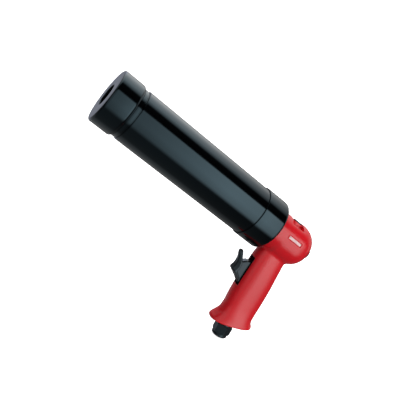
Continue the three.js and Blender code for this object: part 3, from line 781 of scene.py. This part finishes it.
FLOOR_R, FLOOR_SIDES = 7, 64
DOME_R, DOME_SIDES, DOME_RINGS = 9, 48, 16
round_floor = np.arange(FLOOR_SIDES) * 2 * math.pi / FLOOR_SIDES
rim = [(FLOOR_R * math.cos(a), FLOOR_R * math.sin(a), -0.0004) for a in round_floor]
stage_piece("floor", rim, [tuple(range(FLOOR_SIDES))], 0.9)
dome, dome_faces = [], []
for i in range(DOME_RINGS + 1):
    lift = math.pi / 2 * (i / DOME_RINGS) * 1.9 - math.pi * 0.45
    width, height = DOME_R * math.cos(lift), DOME_R * math.sin(lift)
    for k in range(DOME_SIDES):
        a = 2 * math.pi * k / DOME_SIDES
        dome.append((width * math.cos(a), width * math.sin(a), height))
for i in range(DOME_RINGS):
    for k in range(DOME_SIDES):
        here, beside = i * DOME_SIDES + k, i * DOME_SIDES + (k + 1) % DOME_SIDES
        dome_faces.append((here, here + DOME_SIDES, beside + DOME_SIDES, beside))
dome_faces.append(tuple(DOME_RINGS * DOME_SIDES + k for k in range(DOME_SIDES)))
stage_piece("backdrop", dome, dome_faces, 1.05)

# Studio light: soft boxes along the barrel, drawn on the sky. Each is a pair of ramps, one by the
# angle about X in degrees and one by the share of X in a direction, with its strength at each stop.
FRONT_PANEL = [(-180, 0), (-38, 0), (-24, 2.0), (5, 2.7), (46, 2.6), (49, 0), (180, 0)]
OTHER_LIGHT = [
    (-180, 0.12), (-160, 0.13), (-148, 0.26), (-135, 0.36), (-104, 0.33), (-92, 0.16), (-38, 0.16),
    (-25, 0.0), (50, 0.0), (80, 0.02), (86, 0.85), (100, 1.9), (135, 2.0), (150, 1.4), (160, 0.7),
    (168, 0.3), (180, 0.12),
]
MUZZLE_LIGHT = [(-180, 0.31), (-150, 0.31), (-125, 0), (125, 0), (150, 0.31), (180, 0.31)]
PANEL_ALONG = [(-1, 0), (-0.85, 0.2), (-0.7, 0.7), (-0.55, 1.0), (-0.42, 1.2), (-0.3, 0.85), (-0.15, 0.5),
               (0, 0.35), (0.2, 0.19), (0.4, 0.29), (0.7, 0.32), (1, 0.18)]
OTHER_ALONG = [(-1, 0.3), (-0.6, 0.3), (-0.45, 0.6), (-0.3, 0.95), (-0.15, 1.15), (0.2, 1.2), (0.55, 1.0),
               (0.8, 0.35), (1, 0.25)]
MUZZLE_ALONG = [(-1, 0), (0, 0), (0.08, 1), (0.3, 1), (0.5, 0), (1, 0)]
world = bpy.data.worlds.new("studio")
bpy.context.scene.world = world
world.use_nodes = True
tree = world.node_tree
sky = tree.nodes["Background"]


def math_node(kind, first, second):
    node = tree.nodes.new("ShaderNodeMath")
    node.operation = kind
    for socket, value in zip(node.inputs, (first, second)):
        if isinstance(value, float):
            socket.default_value = value
        else:
            tree.links.new(value, socket)
    return node.outputs["Value"]


def remap(value, low, high, to_low=0.0, to_high=1.0):
    node = tree.nodes.new("ShaderNodeMapRange")
    for key, number in (("From Min", low), ("From Max", high), ("To Min", to_low), ("To Max", to_high)):
        node.inputs[key].default_value = number
    tree.links.new(value, node.inputs["Value"])
    return node.outputs["Result"]


def levels(value, stops, low, high):
    """A ramp over value, through (position, level) stops."""
    top = max(level for _, level in stops)
    ramp = tree.nodes.new("ShaderNodeValToRGB")
    marks = ramp.color_ramp.elements
    while len(marks) < len(stops):
        marks.new(0.5)
    for mark, (position, _) in zip(marks, stops):
        mark.position = (position - low) / (high - low)
    for mark, (_, level) in zip(marks, stops):
        mark.color = (level / top, level / top, level / top, 1)
    tree.links.new(remap(value, low, high), ramp.inputs["Fac"])
    return math_node("MULTIPLY", ramp.outputs["Color"], float(top))


way = tree.nodes.new("ShaderNodeTexCoord")
split = tree.nodes.new("ShaderNodeSeparateXYZ")
tree.links.new(way.outputs["Generated"], split.inputs["Vector"])
along = split.outputs["X"]
turn = math_node("MULTIPLY", math_node("ARCTAN2", split.outputs["Z"], split.outputs["Y"]), 180 / math.pi)
glow = 0.0
SOFT_BOXES = ((FRONT_PANEL, PANEL_ALONG), (OTHER_LIGHT, OTHER_ALONG), (MUZZLE_LIGHT, MUZZLE_ALONG))
for around, lengthwise in SOFT_BOXES:
    patch = math_node("MULTIPLY", levels(turn, around, -180, 180), levels(along, lengthwise, -1, 1))
    glow = math_node("ADD", patch, glow)
tree.links.new(glow, sky.inputs["Strength"])

# The last box, which lights the muzzle's face, is slightly blue.
tint = tree.nodes.new("ShaderNodeMixRGB")
tint.inputs["Color1"].default_value = (1, 1, 1, 1)
tint.inputs["Color2"].default_value = (0.35, 0.48, 1, 1)
tree.links.new(patch, tint.inputs["Fac"])
tree.links.new(tint.outputs["Color"], sky.inputs["Color"])

CAMERA_FROM_MUZZLE = (73.28, 559.3, 48.94)
CAMERA_AZIMUTH, CAMERA_ELEVATION, CAMERA_ROLL = 68.792, 7.068, 40.403
CAMERA_LENS = 51.56
camera = bpy.data.objects.new("camera", bpy.data.cameras.new("camera"))
bpy.context.scene.collection.objects.link(camera)
bpy.context.scene.camera = camera
camera.data.lens = CAMERA_LENS
camera.data.sensor_width = 36.0
camera.data.clip_start = 0.02
camera.data.clip_end = 50.0
azimuth, elevation, roll = (math.radians(v) for v in (CAMERA_AZIMUTH, CAMERA_ELEVATION, CAMERA_ROLL))
flat = math.cos(elevation)
back = Vector((flat * math.cos(azimuth), flat * math.sin(azimuth), math.sin(elevation)))
level = Vector((-math.sin(azimuth), math.cos(azimuth), 0))
upright = back.cross(level)
right = level * math.cos(roll) + upright * math.sin(roll)
up = back.cross(right)
turned_to = Matrix((right, up, back)).transposed().to_4x4()
camera.matrix_world = Matrix.Translation(Vector(ORIGIN + MM * np.array(CAMERA_FROM_MUZZLE))) @ turned_to

view = bpy.context.scene.view_settings
view.view_transform = "Standard"
view.look = "None"

low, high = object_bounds()
{"cad": [list(v) for v in CAD_BOX], "visual": [list(low), list(high)]}
